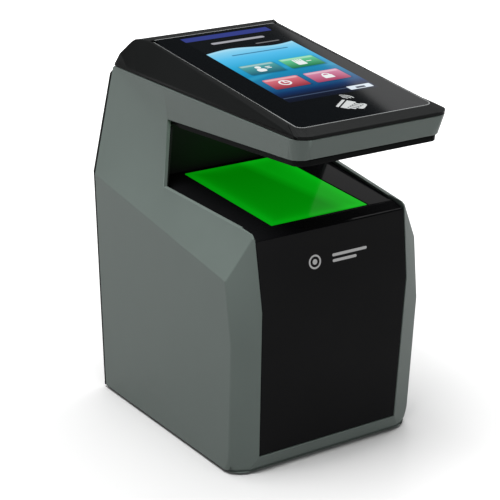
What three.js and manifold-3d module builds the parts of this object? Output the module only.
// Contactless fingerprint terminal.
// A faceted base carries a scan window in its deck, a column rises behind it,
// and a wedge-shaped head with a touch screen overhangs the window.  The gap
// between base and head is open to the left, the right and the front, so a
// hand sweeps through it without touching anything.
//
// Millimetres.  X to the right as seen from the front, front is -Y, Z up.
// The origin is on the floor, under the middle of the overall box.
import * as THREE from 'three';
import { mergeVertices } from 'three/addons/utils/BufferGeometryUtils.js';
import Module from 'manifold-3d';

const wasm = await Module();
wasm.setup();

// ------------------------------------------------------------ driving sizes
const width = 152; // across the belt, at the rear
const depth = 216; // head front to rear cover
const height = 250; // floor to the crest of the head

const wall = 2.5; // moulded wall of the housing
const gap = 0.3; // clearance between seated pieces
const far = 400; // size of a cutting block, larger than the whole object

const footHeight = 1.5;
const rearCoverThick = 4.7;
const frontY = -depth / 2;
const rearY = depth / 2;
const splitY = rearY - rearCoverThick - gap; // rear edge of the housing

// Base: where its corners stand, as half widths, heights, and distances from
// the front or the rear of the object.
const overhang = 38.4; // how far the head stands out over the base's knee
const kneeY = frontY + overhang; // the foremost line of the base
const foldY = kneeY + 5.8;
const panelToeY = kneeY + 6.7;
const soleY = kneeY + 10.6;
const panelToeZ = 12;
const kneeZ = 112;
const foldZ = 156.6;
const foldHalf = 55.2;
const kneeHalf = 54.1;
const toeHalf = 52.3;
const chamferHalf = 70.5; // outer line of the front chamfers
const chamferBack = 8.9; // and how far it stands behind the knee
const chamferZ = 102;

// Belt: the widest line, high at the rear and low at the front.
const beltHalf = width / 2;
const beltRearZ = 157;
const beltFrontHalf = 71.25;
const beltFrontBack = 14.8;
const beltFrontZ = 131.1;
const soleHalfRear = 74;
const columnTopHalf = 60.4; // rear corner of the column, where the rear slope starts

// Tunnel between base and head.
const lipFrontHalf = 56.5;
const lipFrontBack = 14.6;
const lipFrontZ = 160.2;
const lipRearZ = 165.4;
const windowRearY = 31.7; // rear edge of the side openings, at the lip
const windowRearTopY = 39.2; // and at the head
const tunnelBackY = 57; // face of the black wall behind the hand

// Head.
const headUnderFrontZ = height - 34.4;
const headUnderRearZ = height - 43.3;
const seamZ = height - 21.5; // grey rim below, black cover above
const headFrontHalf = 54;
const headRearHalf = 59.7;
const headSideLean = 0.12; // the flanks lean out going up
const headFrontLean = 0.33; // so does the front
const headCornerR = 10;
const crestY = rearY - 24;
const slopeFootY = rearY - 4;
const slopeFootZ = height - 24.4;
const crestHalf = 53;

// Touch glass, tilted towards the user.
const glassHalf = 48;
const glassLength = 171;
const glassThick = 1.8;
const glassFrontY = frontY + 10;
const glassFrontZ = height - 16.8;
const glassRearY = 72;
const glassCornerR = 5;
const glassMargin = 1.2; // black land around the glass
const coverBand = 2; // upright band above the seam

// Scan window, in the deck.
const scanHalf = 32.5;
const scanFrontY = -48;
const scanRearY = 50;
const scanGlassThick = 2;
const scanRebate = 3;
const deckThick = 3;
const deckDrop = 1.3; // the deck lies this far under the lips, at the front
const deckSlope = 0.043;

// Front panel and tunnel lining.
const panelThick = 2.5;
const panelRecess = 0.4;
const linerThick = 2;
const underDrop = 4; // the head's black underside hangs this far below the rim
const underInset = 1.2;

// ------------------------------------------------------------- geometry kit
const V = (x, y, z) => new THREE.Vector3(x, y, z);

function solidOf(geometry) {
  const bare = geometry.clone();
  bare.deleteAttribute('normal');
  bare.deleteAttribute('uv');
  const merged = mergeVertices(bare, 1e-4);
  const mesh = new wasm.Mesh({
    numProp: 3,
    vertProperties: new Float32Array(merged.attributes.position.array),
    triVerts: new Uint32Array(merged.index.array),
  });
  mesh.merge();
  return new wasm.Manifold(mesh);
}

function geometryOf(solid) {
  const mesh = solid.getMesh();
  const geometry = new THREE.BufferGeometry();
  const positions = new Float32Array(mesh.numVert * 3);
  for (let i = 0; i < mesh.numVert; i += 1) {
    for (let k = 0; k < 3; k += 1) {
      positions[3 * i + k] = mesh.vertProperties[mesh.numProp * i + k];
    }
  }
  geometry.setAttribute('position', new THREE.BufferAttribute(positions, 3));
  geometry.setIndex(new THREE.BufferAttribute(new Uint32Array(mesh.triVerts), 1));
  const faceted = geometry.toNonIndexed();
  faceted.computeVertexNormals();
  return faceted;
}

// A box given by its limits along each axis.
function block([x0, x1], [y0, y1], [z0, z1]) {
  const geometry = new THREE.BoxGeometry(x1 - x0, y1 - y0, z1 - z0);
  geometry.translate((x0 + x1) / 2, (y0 + y1) / 2, (z0 + z1) / 2);
  return solidOf(geometry);
}

// A cylinder along 'x', 'y' or 'z', from a to b, through (u, v) of the others.
function rod(axis, radius, [a, b], [u, v], sides = 20) {
  const geometry = new THREE.CylinderGeometry(radius, radius, b - a, sides);
  const middle = (a + b) / 2;
  if (axis === 'x') geometry.rotateZ(Math.PI / 2).translate(middle, u, v);
  if (axis === 'y') geometry.translate(u, middle, v);
  if (axis === 'z') geometry.rotateX(Math.PI / 2).translate(u, v, middle);
  return solidOf(geometry);
}

// A body of revolution around a vertical axis at (x, y); profile is [r, z].
function turned(profile, [x, y], sides = 24) {
  const points = profile.map(([r, z]) => new THREE.Vector2(r, z));
  const geometry = new THREE.LatheGeometry(points, sides);
  geometry.rotateX(Math.PI / 2);
  geometry.translate(x, y, 0);
  return solidOf(geometry);
}

// A side profile, given as [y, z] corners, extruded across the object.
function acrossX(profile, [x0, x1]) {
  const shape = new THREE.Shape(profile.map(([y, z]) => new THREE.Vector2(y, z)));
  const geometry = new THREE.ExtrudeGeometry(shape, { depth: x1 - x0, bevelEnabled: false });
  const place = new THREE.Matrix4().makeBasis(V(0, 1, 0), V(0, 0, 1), V(1, 0, 0));
  geometry.applyMatrix4(place).translate(x0, 0, 0);
  return solidOf(geometry);
}

// A front outline, given as [x, z] corners, extruded from front to rear.
function alongY(outline, [y0, y1]) {
  const shape = new THREE.Shape(outline.map(([x, z]) => new THREE.Vector2(x, z)));
  const geometry = new THREE.ExtrudeGeometry(shape, { depth: y1 - y0, bevelEnabled: false });
  const place = new THREE.Matrix4().makeBasis(V(1, 0, 0), V(0, 0, 1), V(0, -1, 0));
  geometry.applyMatrix4(place).translate(0, y1, 0);
  return solidOf(geometry);
}

// A rectangle with round corners, extruded upwards.
function plate([x0, x1], [y0, y1], [z0, z1], radius) {
  const shape = new THREE.Shape();
  shape.moveTo(x0 + radius, y0);
  shape.lineTo(x1 - radius, y0);
  shape.absarc(x1 - radius, y0 + radius, radius, -Math.PI / 2, 0);
  shape.lineTo(x1, y1 - radius);
  shape.absarc(x1 - radius, y1 - radius, radius, 0, Math.PI / 2);
  shape.lineTo(x0 + radius, y1);
  shape.absarc(x0 + radius, y1 - radius, radius, Math.PI / 2, Math.PI);
  shape.lineTo(x0, y0 + radius);
  shape.absarc(x0 + radius, y0 + radius, radius, Math.PI, Math.PI * 1.5);
  const geometry = new THREE.ExtrudeGeometry(shape, {
    depth: z1 - z0, bevelEnabled: false, curveSegments: 4,
  });
  geometry.translate(0, 0, z0);
  return solidOf(geometry);
}

// A plane through three points, with its normal turned away from the middle.
const middlePoint = V(0, 20, height / 3);
function planeThrough(a, b, c, inner = middlePoint) {
  const normal = b.clone().sub(a).cross(c.clone().sub(a)).normalize();
  if (normal.dot(inner.clone().sub(a)) > 0) normal.negate();
  return { point: a.clone(), normal };
}

function mirrored({ point, normal }) {
  return { point: V(-point.x, point.y, point.z), normal: V(-normal.x, normal.y, normal.z) };
}

// Both the right-hand plane and its mirror image on the left.
const bothSides = (plane) => [plane, mirrored(plane)];

// Cuts away what lies outside the planes, each moved inwards by inset.
function trimmed(solid, planes, inset = 0) {
  let result = solid;
  for (const { point, normal } of planes) {
    const geometry = new THREE.BoxGeometry(far * 2, far * 2, far);
    geometry.translate(0, 0, far / 2);
    const turn = new THREE.Quaternion().setFromUnitVectors(V(0, 0, 1), normal);
    const foot = point.clone().addScaledVector(normal, -inset);
    geometry.applyQuaternion(turn).translate(foot.x, foot.y, foot.z);
    result = result.subtract(solidOf(geometry));
  }
  return result;
}

// A closed solid through rings of equal length.  Each ring runs down the right
// side from front to rear and back up the left, so point i faces its twin.
function loft(rings) {
  const count = rings[0].length;
  const positions = rings.flat().flatMap((p) => [p.x, p.y, p.z]);
  const index = [];
  for (let r = 0; r + 1 < rings.length; r += 1) {
    for (let i = 0; i < count; i += 1) {
      const a = r * count + i;
      const b = r * count + ((i + 1) % count);
      index.push(a, b, a + count, b, b + count, a + count);
    }
  }
  const cap = (start, up) => {
    for (let i = 0; i + 1 < count / 2; i += 1) {
      const [a, b] = [start + i, start + i + 1];
      const [c, d] = [start + count - 2 - i, start + count - 1 - i];
      const faces = c === b ? [[a, b, d]] : [[a, b, c], [a, c, d]];
      for (const [p, q, s] of faces) index.push(p, up ? q : s, up ? s : q);
    }
  };
  cap(0, false);
  cap((rings.length - 1) * count, true);
  const geometry = new THREE.BufferGeometry();
  geometry.setAttribute('position', new THREE.Float32BufferAttribute(positions, 3));
  geometry.setIndex(index);
  return solidOf(geometry);
}

// ------------------------------------------------------ planes of the casing
const beltRear = V(beltHalf, splitY, beltRearZ);
const beltFront = V(beltFrontHalf, kneeY + beltFrontBack, beltFrontZ);
const soleRear = V(soleHalfRear, splitY, footHeight);
const lipFront = V(lipFrontHalf, kneeY + lipFrontBack, lipFrontZ);
const knee = V(kneeHalf, kneeY, kneeZ);
const fold = V(foldHalf, foldY, foldZ);
const panelToe = V(toeHalf, panelToeY, panelToeZ);
const chamferCorner = V(chamferHalf, kneeY + chamferBack, chamferZ);

const flank = planeThrough(beltRear, beltFront, soleRear);
const shoulder = planeThrough(beltRear, beltFront, lipFront);
const upperChamfer = planeThrough(knee, fold, beltFront);
const lowerChamfer = planeThrough(knee, chamferCorner, panelToe);
const upperFront = planeThrough(V(-kneeHalf, kneeY, kneeZ), knee, fold);
const lowerFront = planeThrough(V(-kneeHalf, kneeY, kneeZ), knee, panelToe);
const toeFront = planeThrough(V(-toeHalf, panelToeY, panelToeZ), panelToe, V(0, soleY, footHeight));
const toeCorner = planeThrough(
  V(chamferHalf - 0.5, kneeY + 14.6, panelToeZ),
  V(toeHalf + 9, soleY, footHeight),
  V(chamferHalf - 0.7, kneeY + 19, footHeight),
);

// Where the shoulder meets the lip line, at the rear edge of the side opening.
function onShoulder(y, z) {
  const { point, normal } = shoulder;
  return point.x - (normal.y * (y - point.y) + normal.z * (z - point.z)) / normal.x;
}
const lipSlope = (lipRearZ - lipFrontZ) / (windowRearY - lipFront.y);
const lipHeight = (y) => lipFrontZ + lipSlope * (y - lipFront.y);
const lipRear = V(onShoulder(windowRearY, lipRearZ), windowRearY, lipRearZ);
const lip = planeThrough(
  V(0, lipFront.y, lipFrontZ),
  V(1, lipFront.y, lipFrontZ),
  V(0, windowRearY, lipRearZ),
);

// The cheeks' upper front corner is broken, between front and lip.
const foldBreakDepth = 3.6;
const foldBreak = planeThrough(
  V(-1, foldY, foldZ),
  V(1, foldY, foldZ),
  V(0, foldY + foldBreakDepth, lipHeight(foldY + foldBreakDepth)),
);

const headSideSlope = (headRearHalf - headFrontHalf) / (splitY - frontY);
const headHalf = (y, z) => headFrontHalf + headSideSlope * (y - frontY)
  + headSideLean * (z - seamZ);
const underSlope = (headUnderFrontZ - headUnderRearZ) / (windowRearTopY - frontY - 4);
const underHeight = (y) => headUnderFrontZ - underSlope * (y - frontY - 4);

const columnTop = V(columnTopHalf, splitY, slopeFootZ);
const columnSide = planeThrough(beltRear, lipRear, columnTop);
const rearSlope = planeThrough(
  V(0, crestY, height),
  V(1, crestY, height),
  V(0, slopeFootY, slopeFootZ),
);
const windowRear = planeThrough(
  V(0, windowRearY, lipRearZ),
  V(1, windowRearY, lipRearZ),
  V(0, windowRearTopY, headUnderRearZ),
  V(0, splitY, lipRearZ),
);

// Hollows of the column start a little before the wall they open through.
const openFront = { point: V(0, windowRearY - 10, 0), normal: V(0, -1, 0) };

// --------------------------------------------------------------- casing blocks
const baseSides = [flank, shoulder, upperChamfer, lowerChamfer].flatMap(bothSides);
const baseFront = [foldBreak, upperFront, lowerFront, toeFront, ...bothSides(toeCorner)];
const columnSides = [flank, columnSide].flatMap(bothSides);

// The base up to the plane of the lips; open blocks run past their ends.
function baseBlock(inset, { top = [lip], floor = footHeight, rear = splitY } = {}) {
  const rough = block([-far / 2, far / 2], [frontY, rear], [floor, height * 0.9]);
  return trimmed(trimmed(rough, [...baseSides, ...baseFront], inset), top);
}

// The column between the side openings and the rear.
function columnBlock(inset, { floor = footHeight, rear = splitY, top = seamZ, front = [windowRear] } = {}) {
  const rough = block([-far / 2, far / 2], [kneeY, rear], [floor, top]);
  return trimmed(trimmed(rough, [...columnSides, rearSlope], inset), front);
}

// The head's outline at a height given as a function of y.
function headRing(inset, zAt, { frontAt = frontY, rear = splitY, half = headHalf } = {}) {
  const radius = Math.max(headCornerR - inset, 1);
  const front = frontAt + inset;
  const right = [];
  const steps = 4;
  const cornerHalf = half(front + radius, zAt(front + radius)) - inset;
  for (let i = 0; i <= steps; i += 1) {
    const turn = (i / steps) * (Math.PI / 2);
    const y = front + radius * (1 - Math.cos(turn));
    right.push(V(cornerHalf - radius * (1 - Math.sin(turn)), y, zAt(y)));
  }
  for (const y of [windowRearTopY, glassRearY, crestY, rear]) {
    right.push(V(half(y, zAt(y)) - inset, y, zAt(y)));
  }
  const left = right.map((p) => V(-p.x, p.y, p.z)).reverse();
  return [...right, ...left];
}

// The rim between the head's underside and the seam.
function headBlock(inset, { lower = 0, upper = 0 } = {}) {
  const low = headRing(inset, (y) => underHeight(y) - lower, {
    frontAt: frontY + headFrontLean * (seamZ - headUnderFrontZ),
  });
  const high = headRing(inset, () => seamZ + upper);
  return trimmed(loft([low, high]), [rearSlope], inset);
}

// ------------------------------------------------------------ the parts list
const terminal = new THREE.Group();

const finishes = {
  greyPaint: { color: 0x6f7673, roughness: 0.5, metalness: 0.0 },
  blackPlastic: { color: 0x1d1e1f, roughness: 0.45, metalness: 0.0 },
  blackGloss: { color: 0x101112, roughness: 0.18, metalness: 0.0 },
  glass: { color: 0x15181b, roughness: 0.08, metalness: 0.0 },
  greenGlass: { color: 0x0fa312, roughness: 0.12, metalness: 0.0 },
  rubber: { color: 0x191919, roughness: 0.85, metalness: 0.0 },
  steel: { color: 0xb4b7ba, roughness: 0.35, metalness: 1.0 },
  aluminium: { color: 0xc5c8cb, roughness: 0.4, metalness: 1.0 },
  board: { color: 0x14482c, roughness: 0.55, metalness: 0.0 },
  whitePlastic: { color: 0xe6e6e2, roughness: 0.5, metalness: 0.0 },
  orangeFilm: { color: 0xb8752c, roughness: 0.4, metalness: 0.0 },
};

function add(name, solid, finish) {
  const mesh = new THREE.Mesh(geometryOf(solid), new THREE.MeshStandardMaterial(finishes[finish]));
  mesh.name = name;
  terminal.add(mesh);
}

// ---------------------------------------------------------- fixing positions
const screwR = 1.5;
const screwHeadR = 2.8;
const screwHeadT = 1.8;
const bossHalf = 4;
const bossDepth = 12;
const plateThick = 2;

// Rear cover screws: [x, z]; the outer four sit just inside the flanks.
const rearScrews = [-1, 1].flatMap((side) => [
  [side * (soleHalfRear - 12), 18],
  [side * (beltHalf - 13), beltRearZ - 27],
  [side * (headRearHalf - 11), slopeFootZ - 24],
]);
// Floor plate screws: [x, y].
const floorScrews = [-1, 1].flatMap((side) => [
  [side * (toeHalf - 3), soleY + 12],
  [side * (soleHalfRear - 12), splitY - 24],
]);
// Head screws, up through the underside panel: [x, y].
const headScrews = [-1, 1].flatMap((side) => [
  [side * (headFrontHalf - 13), frontY + 18],
  [side * (headFrontHalf - 13), windowRearY - 12],
]);

// ------------------------------------------------------------- housing shell
function housingShell() {
  const outer = baseBlock(0).add(columnBlock(0)).add(headBlock(0));
  const past = 20;
  const baseHollow = baseBlock(wall, { top: [], floor: footHeight - past, rear: splitY + past });
  const columnHollow = columnBlock(wall, {
    floor: footHeight - past, rear: splitY + past, top: seamZ + past, front: [openFront],
  });
  const headHollow = headBlock(wall, { lower: past, upper: past });
  const sideOpening = acrossX([
    [frontY - past, lipHeight(frontY - past)],
    [windowRearY, lipRearZ],
    [windowRearTopY, underHeight(windowRearTopY)],
    [frontY - past, underHeight(frontY - past)],
  ], [-far / 2, far / 2]);
  const panelOpening = alongY([
    [-toeHalf, panelToeZ], [toeHalf, panelToeZ], [kneeHalf, kneeZ], [foldHalf, foldZ],
    [foldHalf, lipFrontZ + wall], [-foldHalf, lipFrontZ + wall], [-foldHalf, foldZ],
    [-kneeHalf, kneeZ],
  ], [frontY, scanFrontY]);
  let shell = outer.subtract(sideOpening);
  let bosses = null;
  const join = (solid) => { bosses = bosses ? bosses.add(solid) : solid; };
  for (const [x, z] of rearScrews) {
    const [x0, x1] = x > 0 ? [x - bossHalf, far / 4] : [-far / 4, x + bossHalf];
    join(block([x0, x1], [splitY - bossDepth, splitY], [z - bossHalf, z + bossHalf]));
  }
  for (const [x, y] of floorScrews) {
    const [x0, x1] = x > 0 ? [x - bossHalf, far / 4] : [-far / 4, x + bossHalf];
    const low = footHeight + plateThick + gap;
    join(block([x0, x1], [y - bossHalf, y + bossHalf], [low, low + bossDepth]));
  }
  const casingBlock = baseBlock(wall / 2).add(columnBlock(wall / 2));
  bosses = bosses.intersect(casingBlock);
  for (const [x, z] of rearScrews) {
    bosses = bosses.subtract(rod('y', screwR + gap, [splitY - bossDepth + 2, splitY + 1], [x, z], 12));
  }
  const boreTop = footHeight + plateThick + bossDepth - 2;
  for (const place of floorScrews) {
    bosses = bosses.subtract(rod('z', screwR + gap, [0, boreTop], place, 12));
  }
  shell = shell.subtract(baseHollow).subtract(columnHollow).subtract(headHollow);
  shell = shell.subtract(panelOpening).add(bosses);
  add('housing_shell', shell, 'greyPaint');
}

// ------------------------------------------------------------ the black skins
// Screw holes, one through hole each, along an axis.
function pierced(solid, axis, places, radius, span) {
  let result = solid;
  for (const place of places) {
    result = result.subtract(rod(axis, radius, span, place, 12));
  }
  return result;
}

const connectorZ = [24, 50]; // opening in the rear cover for the connectors
const connectorHalf = 47;
const tamperX = 0;
const tamperZ = 180;
const tamperR = 3;
const tamperPinR = 1.4;
const tamperTravel = 1.4; // how far the plunger stands out of the rear face
const edgeThick = 2.4; // rear cover at its rim; its middle stands prouder
const padInset = 7;
const padY = rearY - tamperTravel;
const keyHoleX = 35;
const keyHoleZ = 160;
const keyHoleR = 4.2; // passes the head of a 4 mm screw
const keyNeckHalf = 2.2; // and its neck holds the shank
const keyNeckRise = 10;
const slotCount = 7; // air slots on each side
const slotPitch = 8;
const slotHeight = 3;
const slotLowZ = 66;
const slotNearX = 8;
const slotFarX = 44;

function rearCover() {
  const faceY = splitY + gap;
  const through = [faceY - 1, rearY + 1];
  // One layer of the cover, following the outline of base and column.
  const layer = (inset, y) => {
    const slab = block([-far / 2, far / 2], y, [0, height]);
    const span = { floor: footHeight + Math.max(inset - wall, 0), rear: rearY };
    const low = baseBlock(inset, span).intersect(slab);
    return low.add(columnBlock(inset, { ...span, top: seamZ + far / 8 }).intersect(slab));
  };
  let cover = layer(0.5, [faceY, faceY + edgeThick]);
  cover = cover.add(layer(padInset, [faceY, padY]));
  cover = pierced(cover, 'y', rearScrews, screwR + gap, through);
  cover = pierced(cover, 'y', rearScrews, screwHeadR + gap, [padY - screwHeadT - gap, rearY + 1]);
  cover = pierced(cover, 'y', [[tamperX, tamperZ]], tamperR + gap, through);
  cover = cover.subtract(block([-connectorHalf, connectorHalf], through, connectorZ));
  for (let row = 0; row < slotCount; row += 1) {
    const z = slotLowZ + row * slotPitch;
    for (const x of [[slotNearX, slotFarX], [-slotFarX, -slotNearX]]) {
      cover = cover.subtract(block(x, through, [z, z + slotHeight]));
    }
  }
  // Key holes for hanging the terminal on a wall.
  for (const x of [-keyHoleX, keyHoleX]) {
    const hole = rod('y', keyHoleR, through, [x, keyHoleZ], 16);
    const neck = block([x - keyNeckHalf, x + keyNeckHalf], through,
      [keyHoleZ, keyHoleZ + keyNeckRise]);
    cover = cover.subtract(hole).subtract(neck);
  }
  add('rear_cover', cover, 'blackPlastic');
}

// The plane of the touch glass, and boxes that lie in it.
const glassTilt = Math.atan((height - 0.2 - glassFrontZ) / (glassRearY - glassFrontY));
const glassHeight = (y) => Math.min(glassFrontZ + Math.tan(glassTilt) * (y - glassFrontY), height);
function onGlass(solid, drop) {
  const turn = new THREE.Matrix4().makeRotationX(glassTilt);
  turn.setPosition(0, glassFrontY, glassFrontZ);
  const lower = new THREE.Matrix4().makeTranslation(0, 0, -drop);
  return solid.transform(turn.multiply(lower).toArray());
}

const screenHalf = 33.5;
const screenFront = 36; // from the glass's front edge, along the glass
const screenLength = 119;
const screenThick = 3.6;
const coverLedge = 2.2; // what carries the glass

// The glass edge ring of the cover: the corners hug the glass, and the sides
// run back to the crest and down the rear slope.
function coverTopRing(inset, drop) {
  const margin = glassHalf + glassMargin;
  const half = (y) => {
    if (y <= glassRearY) return margin;
    return margin + ((crestHalf - margin) * (y - glassRearY)) / (crestY - glassRearY);
  };
  return headRing(inset, (y) => glassHeight(y) - drop, {
    frontAt: glassFrontY - glassMargin, half,
  });
}

function headTopCover() {
  const bottom = seamZ + gap;
  const outer = loft([
    headRing(0.15, () => bottom),
    headRing(0, () => bottom + coverBand),
    coverTopRing(0, 0),
  ]);
  const inner = loft([
    headRing(wall, () => bottom - 5),
    headRing(wall, () => bottom + coverBand / 2),
    coverTopRing(wall + 2, glassThick + coverLedge + gap),
  ]);
  let cover = trimmed(outer, [rearSlope]).subtract(trimmed(inner, [rearSlope], wall));
  const pocket = plate([-glassHalf - gap, glassHalf + gap], [-gap, glassLength + gap],
    [-glassThick - gap, 5], glassCornerR);
  cover = cover.subtract(onGlass(pocket, 0));
  const opening = block([-screenHalf - gap, screenHalf + gap],
    [screenFront - gap, screenFront + screenLength + gap], [-30, 5]);
  cover = cover.subtract(onGlass(opening, 0));
  add('head_top_cover', cover, 'blackPlastic');
}

function touchScreen() {
  const glass = plate([-glassHalf, glassHalf], [0, glassLength], [-glassThick, 0], glassCornerR);
  add('touch_glass', onGlass(glass, 0), 'glass');
  const y = [screenFront, screenFront + screenLength];
  const module = block([-screenHalf, screenHalf], y, [-screenThick, 0]);
  add('display_module', onGlass(module, glassThick + gap), 'blackGloss');
  const boardDrop = glassThick + gap + screenThick + gap;
  const board = block([-screenHalf + 3, screenHalf - 3], [y[0] + 8, y[1] - 12], [-1.6, 0]);
  const driver = block([-9, 9], [y[0] + 40, y[0] + 58], [-3, -0.8]);
  const socket = block([-12, 12], [y[1] - 22, y[1] - 16], [-4, -0.8]);
  add('display_board', onGlass(board.add(driver).add(socket), boardDrop), 'board');
}

function cardReader() {
  const drop = glassThick + coverLedge + 2 * gap + 0.2;
  const board = block([-28, 28], [8, 31], [-1.2, 0]);
  const chip = block([-5, 5], [14, 24], [-2.6, -0.6]);
  add('card_reader_board', onGlass(board.add(chip), drop), 'board');
}

// The black underside of the head, hung inside the rim.
function underside() {
  const past = windowRearY - 3;
  const rim = { frontAt: frontY + headFrontLean * (seamZ - headUnderFrontZ) };
  const tray = (inset, low, high, rear) => loft([
    headRing(inset, (y) => underHeight(y) + low, { ...rim, rear }),
    headRing(inset, (y) => underHeight(y) + high, { ...rim, rear }),
  ]);
  const skirtCut = block([-far / 2, far / 2], [frontY - 1, past], [0, height]);
  const skirt = tray(underInset, -underDrop, -gap, splitY).intersect(skirtCut);
  const plugInset = wall + gap + 0.4;
  const plugRear = block([-far / 2, far / 2], [frontY, tunnelBackY - gap], [0, height]);
  const plug = tray(plugInset, -underDrop, 2, splitY).intersect(plugRear);
  const hollowRear = block([-far / 2, far / 2], [frontY, tunnelBackY - gap - 2], [0, height]);
  const hollow = tray(plugInset + 2, -underDrop + 2, 10, splitY).intersect(hollowRear);
  let panel = skirt.add(plug).subtract(hollow);
  const z = [0, height];
  panel = pierced(panel, 'z', headScrews, screwR + gap, z);
  // Counterbores follow the slope of the panel.
  for (const [x, y] of headScrews) {
    const low = underHeight(y) - underDrop;
    panel = panel.subtract(rod('z', screwHeadR + gap, [low - 3, low + screwHeadT / 2], [x, y], 16));
  }
  add('head_underside', panel, 'blackGloss');
}

// --------------------------------------------------------- deck and scan window
const deckHeight = (y) => lipFrontZ - deckDrop + deckSlope * (y - lipFront.y);
const linerInset = wall + gap;
const apronRearY = scanFrontY - 5;

function slabOnDeck(low, high, [y0, y1]) {
  return acrossX([
    [y0, deckHeight(y0) + low], [y1, deckHeight(y1) + low],
    [y1, deckHeight(y1) + high], [y0, deckHeight(y0) + high],
  ], [-far / 4, far / 4]);
}

function deck() {
  const inBase = baseBlock(linerInset + 0.2, { top: [] });
  const inColumn = columnBlock(linerInset + linerThick + gap, { front: [openFront] });
  const front = slabOnDeck(-deckThick, 0, [apronRearY, windowRearY - 5]).intersect(inBase);
  const rear = slabOnDeck(-deckThick, 0, [windowRearY - 5, tunnelBackY - gap])
    .intersect(inBase).intersect(inColumn);
  const rebate = slabOnDeck(-scanGlassThick - gap, 5,
    [scanFrontY - scanRebate - gap, scanRearY + scanRebate + gap]);
  const over = block([-scanHalf - scanRebate - gap, scanHalf + scanRebate + gap],
    [frontY, rearY], [0, height]);
  const hole = block([-scanHalf, scanHalf], [scanFrontY, scanRearY], [0, height]);
  const frame = front.add(rear).subtract(rebate.intersect(over)).subtract(hole);
  add('deck_frame', frame, 'blackGloss');
  const glass = slabOnDeck(-scanGlassThick, 0, [scanFrontY - scanRebate, scanRearY + scanRebate])
    .intersect(block([-scanHalf - scanRebate, scanHalf + scanRebate], [frontY, rearY], [0, height]));
  add('scan_window', glass, 'greenGlass');
}

function frontPanel() {
  const r = panelRecess;
  const t = r + panelThick;
  const foldDrop = 0.8;
  const outer = [
    [panelToeY + r, panelToeZ + gap], [kneeY + r, kneeZ], [foldY + r, foldZ - foldDrop],
    [foldY + 1.5, foldZ], [apronRearY - gap, deckHeight(apronRearY)],
  ];
  const inner = [
    [apronRearY - gap, deckHeight(apronRearY) - panelThick], [foldY + t, foldZ - t],
    [kneeY + t, kneeZ], [panelToeY + t, panelToeZ + gap],
  ];
  const sheet = acrossX([...outer, ...inner].reverse(), [-far / 4, far / 4]);
  const outline = alongY([
    [-toeHalf + gap, 0], [toeHalf - gap, 0], [toeHalf - gap, panelToeZ],
    [kneeHalf - gap, kneeZ], [foldHalf - gap, foldZ], [foldHalf - gap, height],
    [-foldHalf + gap, height], [-foldHalf + gap, foldZ], [-kneeHalf + gap, kneeZ],
    [-toeHalf + gap, panelToeZ],
  ], [frontY, rearY]);
  const panel = trimmed(sheet.intersect(outline), bothSides(shoulder), linerInset + 0.2);
  add('front_panel', panel, 'blackGloss');
}

// Black lining of the tunnel's blind rear end: a back wall and two cheeks.
function tunnelLiner() {
  const hollow = (inset) => columnBlock(inset, { front: [openFront] });
  const low = deckHeight(tunnelBackY) - deckThick - 2;
  const zone = acrossX([
    [windowRearY + 0.6, low], [tunnelBackY + linerThick, low],
    [tunnelBackY + linerThick, underHeight(tunnelBackY) + 4],
    [tunnelBackY, underHeight(tunnelBackY) + 4],
    [windowRearTopY + 0.4, underHeight(windowRearTopY) + 2],
  ].reverse(), [-far / 4, far / 4]);
  const room = block([-far / 4, far / 4], [frontY, tunnelBackY], [0, height]);
  const whole = hollow(linerInset).intersect(zone)
    .subtract(hollow(linerInset + linerThick).intersect(room));
  const undersideRoom = headBlock(wall - 1, { lower: underDrop + 2, upper: 5 });
  const cheeks = whole.subtract(undersideRoom.intersect(room));
  add('tunnel_liner', cheeks, 'blackPlastic');
}

// --------------------------------------------------------------- optical bay
// A light-tight box under the scan window.  Two cameras look up from its floor
// and two boards of green lamps light the hand from its sides.
const bayWall = 2;
const bayHalf = scanHalf + 8;
const bayFront = scanFrontY - 3;
const bayRear = scanRearY + 3;
const bayFloorZ = 78;
const bayTopZ = deckHeight(scanFrontY - scanRebate) - deckThick - gap - 0.5;
const lensX = 17;
const lensR = 7;
const lensLength = 20;
const boardT = 1.6;
const lampCount = 8; // green lamps on each board
const lampRise = 1.2;
const lampHalf = 1.8;
const lampBoardHeight = 22;

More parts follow.
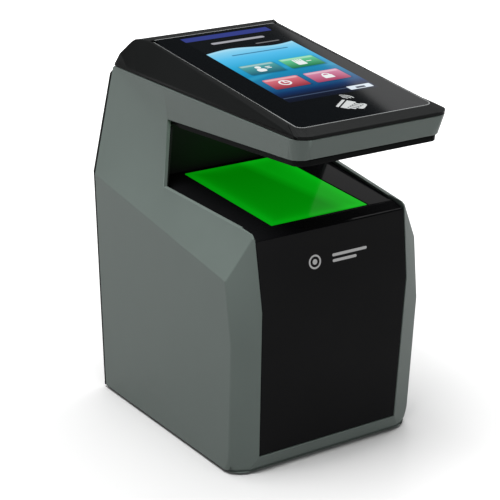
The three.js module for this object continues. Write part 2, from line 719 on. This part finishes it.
function opticalBay() {
  const shellOut = block([-bayHalf, bayHalf], [bayFront, bayRear], [bayFloorZ, bayTopZ]);
  const shellIn = block([-bayHalf + bayWall, bayHalf - bayWall],
    [bayFront + bayWall, bayRear - bayWall], [bayFloorZ + bayWall, bayTopZ + 1]);
  const lenses = [-lensX, lensX].map((x) => [x, 0]);
  const holes = [bayFloorZ - 1, bayFloorZ + bayWall + 1];
  const bay = pierced(shellOut.subtract(shellIn), 'z', lenses, lensR + gap, holes);
  add('optical_bay', bay, 'blackPlastic');

  const half = bayHalf - bayWall - gap;
  for (const [word, side] of [['left', -1], ['right', 1]]) {
    const spanX = (a, b) => (side > 0 ? [half - b, half - a] : [-half + a, -half + b]);
    const y = [bayFront + 10, bayRear - 10];
    const top = bayTopZ - 6;
    const upright = [top - lampBoardHeight, top];
    let lamps = block(spanX(0, boardT), y, upright);
    const pitch = (y[1] - y[0]) / lampCount;
    for (let i = 0; i < lampCount; i += 1) {
      const mid = y[0] + (i + 0.5) * pitch;
      const lamp = block(spanX(boardT - 0.4, boardT + lampRise),
        [mid - lampHalf, mid + lampHalf], [top - 13, top - 9]);
      lamps = lamps.add(lamp);
    }
    add(`lamp_board_${word}`, lamps, 'board');
    const film = block(spanX(boardT + 2.4, boardT + 3.9), y, upright);
    add(`light_diffuser_${word}`, film, 'whitePlastic');
    const x = side * lensX;
    const [r0, r1, r2] = [lensR - 3, lensR - 1, lensR];
    const z = bayFloorZ - 4;
    const barrel = turned([
      [0, z], [r1, z], [r1, z + 9], [r2, z + 9], [r2, z + lensLength],
      [r2 - 1.4, z + lensLength], [r0, z + lensLength - 4], [0, z + lensLength - 4],
    ], [x, 0]);
    add(`camera_lens_${word}`, barrel, 'blackPlastic');
  }
  const lensFoot = bayFloorZ - 4 - gap;
  let sensor = block([-34, 34], [-17, 17], [lensFoot - boardT - 2, lensFoot - 2]);
  for (const x of [-lensX, lensX]) {
    sensor = sensor.add(block([x - 5, x + 5], [-5, 5], [lensFoot - 2.4, lensFoot]));
  }
  add('camera_board', sensor, 'board');
}

// --------------------------------------------------------------- electronics
const mainBoardY = 92;
const mainBoardZ = [58, 196];
const mainBoardHalf = 50;
const ioBoardZ = connectorZ[0] + 4;

function electronics() {
  let board = block([-mainBoardHalf, mainBoardHalf], [mainBoardY - boardT, mainBoardY], mainBoardZ);
  const chipFront = mainBoardY - boardT - 1.4;
  board = board.add(block([-11, 11], [chipFront, mainBoardY - 1], [104, 126]));
  for (const [x, z] of [[20, 108], [20, 124], [34, 116], [-32, 140], [-30, 84]]) {
    board = board.add(block([x - 5, x + 5], [chipFront, mainBoardY - 1], [z - 5, z + 5]));
  }
  for (const x of [-20, 16]) {
    board = board.add(block([x - 12, x + 12], [mainBoardY - 6, mainBoardY - 1], [184, 189]));
  }
  const corners = [-1, 1].flatMap((side) => mainBoardZ.map((z) => [
    side * (mainBoardHalf - 5), z + (z === mainBoardZ[0] ? 5 : -5),
  ]));
  board = pierced(board, 'y', corners, screwR + gap, [mainBoardY - 5, mainBoardY + 5]);
  add('main_board', board, 'board');

  const fins = 8;
  const finHalf = 0.8;
  const sinkHalf = 26;
  const sinkZ = [92, 138];
  const sinkBack = chipFront - gap;
  const finPitch = (2 * (sinkHalf - finHalf) - 0.8) / (fins - 1);
  let sink = block([-sinkHalf, sinkHalf], [sinkBack - 3, sinkBack], sinkZ);
  for (let i = 0; i < fins; i += 1) {
    const x = (i - (fins - 1) / 2) * finPitch;
    sink = sink.add(block([x - finHalf, x + finHalf], [sinkBack - 12, sinkBack - 2.5], sinkZ));
  }
  add('heat_sink', sink, 'aluminium');

  const io = block([-mainBoardHalf, mainBoardHalf], [66, splitY - 3], [ioBoardZ - boardT, ioBoardZ]);
  const header = block([-20, 20], [68, 73], [ioBoardZ - 0.4, ioBoardZ + 8]);
  add('connector_board', io.add(header), 'board');

  // Sockets stand on the board and open to the rear.
  const face = splitY - 3;
  const onBoard = ioBoardZ + gap;
  const socket = (name, x, w, d, h, mouths, finish) => {
    let body = block([x - w / 2, x + w / 2], [face - d, face], [onBoard, onBoard + h]);
    for (const [dx, mw, mz, mh, md] of mouths) {
      body = body.subtract(block([x + dx - mw / 2, x + dx + mw / 2], [face - md, face + 1],
        [onBoard + mz, onBoard + mz + mh]));
    }
    add(name, body, finish);
  };
  socket('network_socket', -33, 16, 16.5, 14, [[0, 11.7, 3, 7.5, 11], [0, 6, 1.5, 2.5, 11]], 'steel');
  socket('usb_socket', -14, 14.5, 14, 7, [[0, 12.4, 1.1, 4.6, 9]], 'steel');
  const poles = (count) => Array.from({ length: count }, (_, i) => (
    [(i - (count - 1) / 2) * 3.8, 2.6, 2.2, 3.2, 6]));
  socket('power_terminal', 3, 10.4, 12, 9, poles(2), 'whitePlastic');
  socket('signal_terminal', 23.5, 26, 12, 9, poles(6), 'whitePlastic');

  // Reset key: a cap on the connector board, reached through the opening.
  const resetX = 41.5;
  const stemZ = onBoard + 3.6;
  const stemR = 1.2;
  const cap = block([resetX - 2, resetX + 2], [face - 4, face - 1.2], [stemZ - 2, stemZ + 2]);
  const stem = rod('y', stemR, [face - 7, face - 3.5], [resetX, stemZ], 16);
  add('reset_button', cap.add(stem), 'blackPlastic');
  const well = block([resetX - 3, resetX + 3], [face - 13, face - 5.2], [onBoard, onBoard + 7.2]);
  const bore = rod('y', stemR + gap, [face - 11, face - 4], [resetX, stemZ], 16);
  add('reset_switch', well.subtract(bore), 'blackPlastic');

  // Tamper switch: its plunger stands out of the rear cover and is pressed in
  // by the wall or the bracket behind the terminal.
  const collar = rod('y', tamperR, [splitY - 2.5, rearY], [tamperX, tamperZ]);
  const pin = rod('y', tamperPinR, [splitY - 7, splitY - 2], [tamperX, tamperZ], 16);
  add('tamper_plunger', collar.add(pin), 'whitePlastic');
  const housing = block([-6, 6], [mainBoardY + gap, splitY - 4.6], [tamperZ - 5, tamperZ + 5]);
  const guide = rod('y', tamperPinR + gap, [splitY - 9, splitY], [tamperX, tamperZ], 16);
  add('tamper_switch', housing.subtract(guide), 'blackPlastic');

  const speaker = turned([
    [0, 0], [9, 0], [9, 3], [14, 6.5], [16, 6.5], [16, 8], [11, 8], [8, 6], [0, 6],
  ], [0, 0]);
  const lay = new THREE.Matrix4().makeRotationX(-Math.PI / 2).setPosition(-50, 74, 46);
  add('speaker', speaker.transform(lay.toArray()), 'blackPlastic');

  // Flat cables from the main board to the screen and to the cameras.
  const strip = (name, path, x) => {
    const thick = 0.4;
    const line = path.map(([y, z]) => new THREE.Vector2(y, z));
    const back = line.map((here, i) => {
      const along = line[Math.min(i + 1, line.length - 1)].clone().sub(line[Math.max(i - 1, 0)]);
      const side = new THREE.Vector2(along.y, -along.x).setLength(thick);
      return [here.x + side.x, here.y + side.y];
    });
    add(name, acrossX([...path, ...back.reverse()], x), 'orangeFilm');
  };
  const entry = headUnderRearZ; // the cable rises behind the tunnel into the head
  strip('screen_cable', [
    [83, 186.5], [78, 187], [76, entry - 1.7], [70, entry + 18.3], [58, entry + 25.3],
  ], [-30, -12]);
  strip('camera_cable', [[83, 150], [70, 140], [66, 90], [60, 70.5], [19, 70.5]], [30.5, 40]);
}

// --------------------------------------------------- floor plate, feet, screws
const footR = 7;
const footPlateHole = 5;
const frontFootIn = 8; // from the toe's corners
const frontFootBack = 30;
const rearFootIn = 16; // and from the rear corners
const rearFootAhead = 10;

function underPlate() {
  const low = footHeight;
  const slab = block([-far / 2, far / 2], [frontY, splitY - gap],
    [low + gap, low + gap + plateThick]);
  let floor = baseBlock(wall + gap, { top: [], floor: 0 }).intersect(slab);
  floor = pierced(floor, 'z', floorScrews, screwR + gap, [0, 20]);
  const places = [-1, 1].flatMap((side) => [
    [side * (toeHalf - frontFootIn), soleY + frontFootBack],
    [side * (soleHalfRear - rearFootIn), splitY - rearFootAhead],
  ]);
  floor = pierced(floor, 'z', places, footPlateHole / 2 + gap, [0, 20]);
  add('floor_plate', floor, 'steel');
  for (const [i, place] of places.entries()) {
    const foot = turned([
      [0, 0], [footR - 0.6, 0], [footR, 0.6], [footR, low], [footPlateHole / 2, low],
      [footPlateHole / 2, low + plateThick + gap], [0, low + plateThick + gap],
    ], place, 20);
    const word = `${place[0] < 0 ? 'left' : 'right'}_${i % 2 ? 'rear' : 'front'}`;
    add(`foot_${word}`, foot, 'rubber');
  }
}

// A button-head screw with a hexagon socket; its head faces down or to the rear.
function screw(name, axis, place, headAt, length, out) {
  const span = (a, b) => [headAt + Math.min(out * a, out * b), headAt + Math.max(out * a, out * b)];
  const head = rod(axis, screwHeadR, span(0, screwHeadT), place, 18);
  const shank = rod(axis, screwR, span(0.2, -length), place, 12);
  const key = rod(axis, 1.2, span(screwHeadT - 1, screwHeadT + 1), place, 6);
  add(name, head.add(shank).subtract(key), 'steel');
}

function screws() {
  const heights = ['lower', 'middle', 'upper'];
  for (const [i, [x, z]] of rearScrews.entries()) {
    const word = `${heights[i % 3]}_${x < 0 ? 'left' : 'right'}`;
    screw(`rear_screw_${word}`, 'y', [x, z], padY - screwHeadT - gap / 2, 9, 1);
  }
  for (const [i, place] of floorScrews.entries()) {
    const word = `${place[0] < 0 ? 'left' : 'right'}_${i % 2 ? 'rear' : 'front'}`;
    screw(`floor_screw_${word}`, 'z', place, footHeight + gap / 2, 9, -0.7);
  }
  for (const [i, place] of headScrews.entries()) {
    const word = `${place[0] < 0 ? 'left' : 'right'}_${i % 2 ? 'rear' : 'front'}`;
    const at = underHeight(place[1]) - underDrop + screwHeadT / 2 - gap / 2;
    screw(`head_screw_${word}`, 'z', place, at, 12, -1);
  }
  for (const side of [-1, 1]) {
    for (const [word, z] of [['lower', mainBoardZ[0] + 5], ['upper', mainBoardZ[1] - 5]]) {
      const at = mainBoardY - boardT - gap / 2;
      screw(`board_screw_${word}_${side < 0 ? 'left' : 'right'}`, 'y',
        [side * (mainBoardHalf - 5), z], at, 5, -1);
    }
  }
}

rearCover();
housingShell();
headTopCover();
touchScreen();
cardReader();
underside();
deck();
frontPanel();
tunnelLiner();
opticalBay();
electronics();
underPlate();
screws();

export default terminal;
